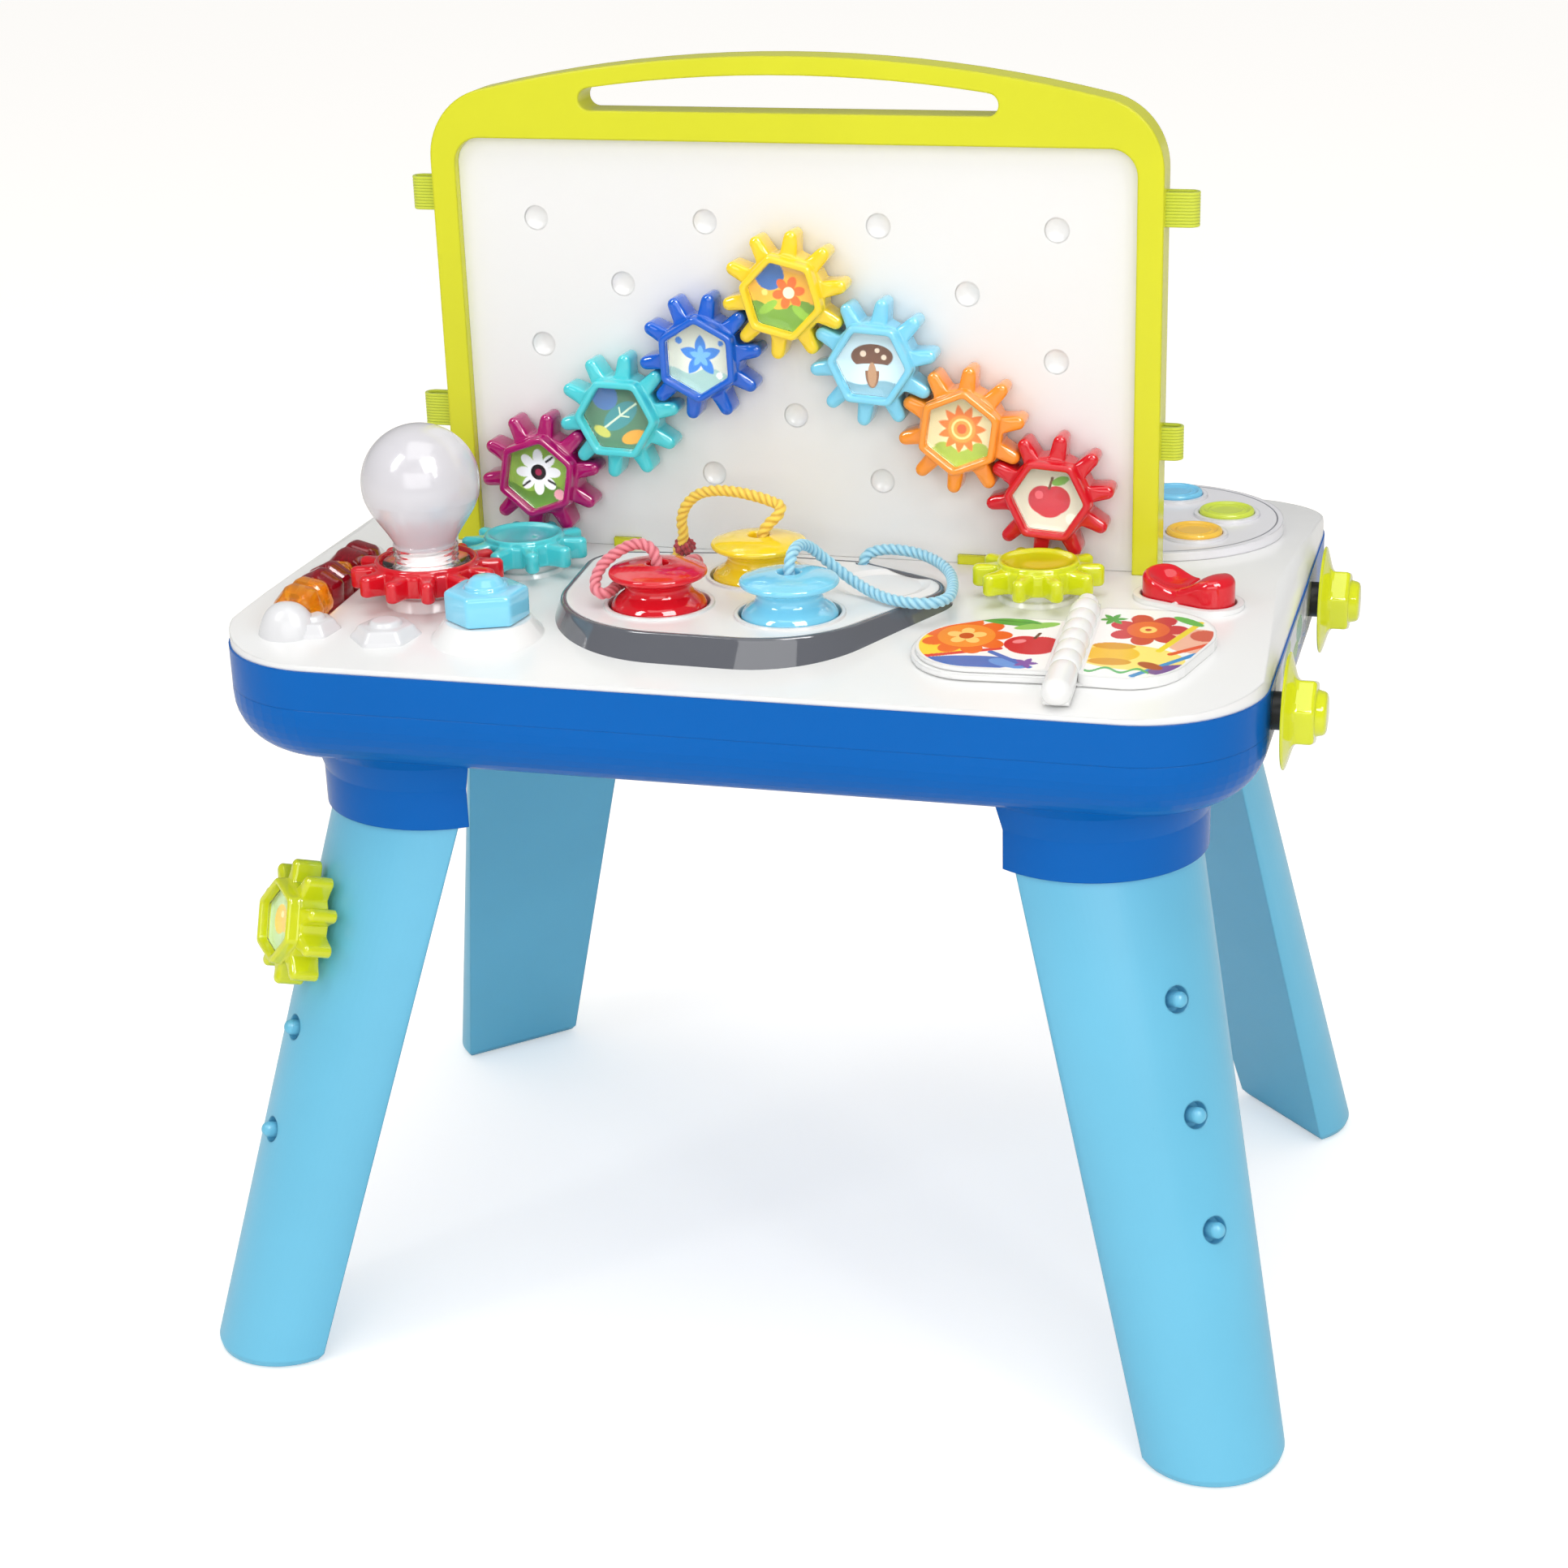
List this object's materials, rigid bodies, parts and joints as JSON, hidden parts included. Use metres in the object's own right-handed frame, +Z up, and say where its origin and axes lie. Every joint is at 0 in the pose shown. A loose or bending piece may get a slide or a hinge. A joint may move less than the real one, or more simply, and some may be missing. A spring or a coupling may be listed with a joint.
{
  "type": "musical activity table",
  "caption": "Standing baby activity table: blue tub on splayed legs, upright peg board with meshing gears, and a deck with bulb, beads, spools on ropes, book and knobs.",
  "frame": {"origin": "on the floor, midway between the feet, under the front face of the peg panel", "axes": "+X to the right of someone who faces the peg board, +Y from the play side to the back, +Z up"},
  "size_m": [0.5051, 0.381, 0.577],
  "materials": {
    "white_plastic": "glossy white ABS",
    "blue_plastic": "glossy blue ABS",
    "sky_leg_plastic": "satin sky-blue polypropylene",
    "lime_plastic": "glossy lime ABS",
    "lime_webbing": "ribbed woven webbing",
    "grey_plastic": "glossy dark grey ABS",
    "frosted_bulb": "frosted translucent globe on a clear collar",
    "battery_jacket": "printed battery jacket",
    "circuit_green": "solder-masked board",
    "black_plastic": "black acetal and paper cone",
    "screw_steel": "zinc-plated screws",
    "clear_rod": "polished rod",
    "teal_plastic": "glossy teal ABS",
    "red_plastic": "glossy red ABS",
    "sky_plastic": "glossy light blue ABS",
    "yellow_plastic": "glossy yellow ABS",
    "royal_plastic": "glossy dark blue ABS",
    "orange_plastic": "glossy orange ABS",
    "magenta_plastic": "glossy magenta ABS",
    "window_card": "printed card behind a clear lens",
    "orange_bead": "translucent orange",
    "burgundy_bead": "translucent burgundy",
    "rope_pink": "twisted pink cord",
    "rope_yellow": "twisted yellow cord",
    "rope_blue": "twisted light blue cord",
    "button_blue": "translucent light-up cap",
    "button_lime": "translucent light-up cap",
    "button_yellow": "translucent light-up cap"
  },
  "bodies": {
    "table": {"top_deck": "white_plastic", "rim_band": "blue_plastic", "base_tub": "blue_plastic", "leg_front_left": "sky_leg_plastic", "leg_front_right": "sky_leg_plastic", "leg_back_left": "sky_leg_plastic", "leg_back_right": "sky_leg_plastic", "board_frame": "lime_plastic", "peg_panel": "white_plastic", "back_panel": "white_plastic", "tape_loops": "lime_webbing", "tray_rim": "grey_plastic", "tray_top": "white_plastic", "book_base": "white_plastic", "palette_plate": "white_plastic", "bulb": "frosted_bulb", "battery_door": "blue_plastic", "batteries": "battery_jacket", "circuit_board": "circuit_green", "speaker": "black_plastic", "housing_screws": "screw_steel", "axles_and_bushes": "black_plastic", "bead_rod": "clear_rod"},
    "gear_yellow_body": {"gear_yellow": "yellow_plastic", "window_yellow": "window_card"},
    "gear_dark_blue_body": {"gear_dark_blue": "royal_plastic", "window_dark_blue": "window_card"},
    "gear_light_blue_body": {"gear_light_blue": "sky_plastic", "window_light_blue": "window_card"},
    "gear_teal_body": {"gear_teal": "teal_plastic", "window_teal": "window_card"},
    "gear_orange_body": {"gear_orange": "orange_plastic", "window_orange": "window_card"},
    "gear_magenta_body": {"gear_magenta": "magenta_plastic", "window_magenta": "window_card"},
    "gear_red_body": {"gear_red": "red_plastic", "window_red": "window_card"},
    "leg_gear_body": {"leg_gear": "lime_plastic", "window_leg": "window_card"},
    "deck_gear_teal_body": {"deck_gear_teal": "teal_plastic"},
    "deck_gear_lime_body": {"deck_gear_lime": "lime_plastic"},
    "bulb_gear_body": {"bulb_gear": "red_plastic"},
    "hex_knob_body": {"hex_knob": "sky_plastic"},
    "bead_orange_body": {"bead_orange": "orange_bead"},
    "bead_burgundy_front_body": {"bead_burgundy_front": "burgundy_bead"},
    "bead_small_body": {"bead_small": "orange_bead"},
    "bead_burgundy_rear_body": {"bead_burgundy_rear": "burgundy_bead"},
    "spool_red_body": {"spool_red": "red_plastic", "rope_red": "rope_pink"},
    "spool_yellow_body": {"spool_yellow": "yellow_plastic", "rope_yellow": "rope_yellow"},
    "spool_blue_body": {"spool_blue": "sky_plastic", "rope_blue": "rope_blue"},
    "book_page_body": {"book_page": "white_plastic"},
    "rocker_body": {"rocker": "red_plastic"},
    "button_blue_body": {"button_blue": "button_blue"},
    "button_lime_body": {"button_lime": "button_lime"},
    "button_yellow_body": {"button_yellow": "button_yellow"},
    "side_knob_front_body": {"side_knob_front": "lime_plastic"},
    "side_knob_rear_body": {"side_knob_rear": "lime_plastic"}
  },
  "joints": [
    {"name": "gear_yellow_spin", "type": "hinge", "parent": "table", "child": "gear_yellow_body", "pos_m": [0, -0.01, 0.47465], "axis": [0, -1, 0], "continuous": true},
    {"name": "gear_dark_blue_spin", "type": "hinge", "parent": "table", "child": "gear_dark_blue_body", "pos_m": [-0.03994, -0.01, 0.4457], "axis": [0, -1, 0], "continuous": true},
    {"name": "gear_light_blue_spin", "type": "hinge", "parent": "table", "child": "gear_light_blue_body", "pos_m": [0.03994, -0.01, 0.4457], "axis": [0, -1, 0], "continuous": true},
    {"name": "gear_teal_spin", "type": "hinge", "parent": "table", "child": "gear_teal_body", "pos_m": [-0.07988, -0.01, 0.41675], "axis": [0, -1, 0], "continuous": true},
    {"name": "gear_orange_spin", "type": "hinge", "parent": "table", "child": "gear_orange_body", "pos_m": [0.07988, -0.01, 0.41675], "axis": [0, -1, 0], "continuous": true},
    {"name": "gear_magenta_spin", "type": "hinge", "parent": "table", "child": "gear_magenta_body", "pos_m": [-0.11982, -0.01, 0.3878], "axis": [0, -1, 0], "continuous": true},
    {"name": "gear_red_spin", "type": "hinge", "parent": "table", "child": "gear_red_body", "pos_m": [0.11982, -0.01, 0.3878], "axis": [0, -1, 0], "continuous": true},
    {"name": "leg_gear_spin", "type": "hinge", "parent": "table", "child": "leg_gear_body", "pos_m": [-0.20404, -0.13861, 0.20715], "axis": [-0.671, -0.671, 0.3153], "continuous": true},
    {"name": "deck_gear_teal_spin", "type": "hinge", "parent": "table", "child": "deck_gear_teal_body", "pos_m": [-0.11982, -0.041, 0.3615], "axis": [0, 0, 1], "continuous": true},
    {"name": "deck_gear_lime_spin", "type": "hinge", "parent": "table", "child": "deck_gear_lime_body", "pos_m": [0.11982, -0.041, 0.3615], "axis": [0, 0, 1], "continuous": true},
    {"name": "bulb_gear_spin", "type": "hinge", "parent": "table", "child": "bulb_gear_body", "pos_m": [-0.14899, -0.0868, 0.3615], "axis": [0, 0, 1], "continuous": true},
    {"name": "hex_knob_spin", "type": "hinge", "parent": "table", "child": "hex_knob_body", "pos_m": [-0.1075, -0.1215, 0.359], "axis": [0, 0, 1], "continuous": true},
    {"name": "bead_orange_spin", "type": "hinge", "parent": "table", "child": "bead_orange_body", "pos_m": [-0.1966, -0.116, 0.352], "axis": [0, 1, 0], "continuous": true},
    {"name": "bead_burgundy_front_spin", "type": "hinge", "parent": "table", "child": "bead_burgundy_front_body", "pos_m": [-0.1966, -0.092, 0.352], "axis": [0, 1, 0], "continuous": true},
    {"name": "bead_small_spin", "type": "hinge", "parent": "table", "child": "bead_small_body", "pos_m": [-0.1966, -0.07625, 0.352], "axis": [0, 1, 0], "continuous": true},
    {"name": "bead_burgundy_rear_spin", "type": "hinge", "parent": "table", "child": "bead_burgundy_rear_body", "pos_m": [-0.1966, -0.05925, 0.352], "axis": [0, 1, 0], "continuous": true},
    {"name": "spool_red_pull", "type": "slide", "parent": "table", "child": "spool_red_body", "axis": [0, 0, 1], "range_m": [0, 0.029]},
    {"name": "spool_yellow_pull", "type": "slide", "parent": "table", "child": "spool_yellow_body", "axis": [0, 0, 1], "range_m": [0, 0.029]},
    {"name": "spool_blue_pull", "type": "slide", "parent": "table", "child": "spool_blue_body", "axis": [0, 0, 1], "range_m": [0, 0.029]},
    {"name": "book_page_turn", "type": "hinge", "parent": "table", "child": "book_page_body", "pos_m": [0.14752, -0.10742, 0.35257], "axis": [-0.0383, 0.9965, 0.0749], "range_deg": [0, 174]},
    {"name": "rocker_tilt", "type": "hinge", "parent": "table", "child": "rocker_body", "pos_m": [0.1855, -0.037, 0.3515], "axis": [0.4067, 0.9135, 0], "range_deg": [-8, 8]},
    {"name": "button_blue_press", "type": "slide", "parent": "table", "child": "button_blue_body", "axis": [0, 0, -1], "range_m": [0, 0.0025], "stiffness_N_per_m": 500},
    {"name": "button_lime_press", "type": "slide", "parent": "table", "child": "button_lime_body", "axis": [0, 0, -1], "range_m": [0, 0.0025], "stiffness_N_per_m": 500},
    {"name": "button_yellow_press", "type": "slide", "parent": "table", "child": "button_yellow_body", "axis": [0, 0, -1], "range_m": [0, 0.0025], "stiffness_N_per_m": 500},
    {"name": "side_knob_front_spin", "type": "hinge", "parent": "table", "child": "side_knob_front_body", "pos_m": [0.2444, -0.099, 0.325], "axis": [1, 0, 0], "continuous": true},
    {"name": "side_knob_rear_spin", "type": "hinge", "parent": "table", "child": "side_knob_rear_body", "pos_m": [0.2444, 0.056, 0.325], "axis": [1, 0, 0], "continuous": true}
  ],
  "couplings": [
    {"joint": "gear_dark_blue_spin", "follows": "gear_yellow_spin", "ratio": -1},
    {"joint": "gear_light_blue_spin", "follows": "gear_yellow_spin", "ratio": -1},
    {"joint": "gear_teal_spin", "follows": "gear_yellow_spin", "ratio": 1},
    {"joint": "gear_orange_spin", "follows": "gear_yellow_spin", "ratio": 1},
    {"joint": "gear_magenta_spin", "follows": "gear_yellow_spin", "ratio": -1},
    {"joint": "gear_red_spin", "follows": "gear_yellow_spin", "ratio": -1},
    {"joint": "deck_gear_teal_spin", "follows": "gear_yellow_spin", "ratio": 1},
    {"joint": "deck_gear_lime_spin", "follows": "gear_yellow_spin", "ratio": 1},
    {"joint": "bulb_gear_spin", "follows": "gear_yellow_spin", "ratio": -0.83333}
  ]
}
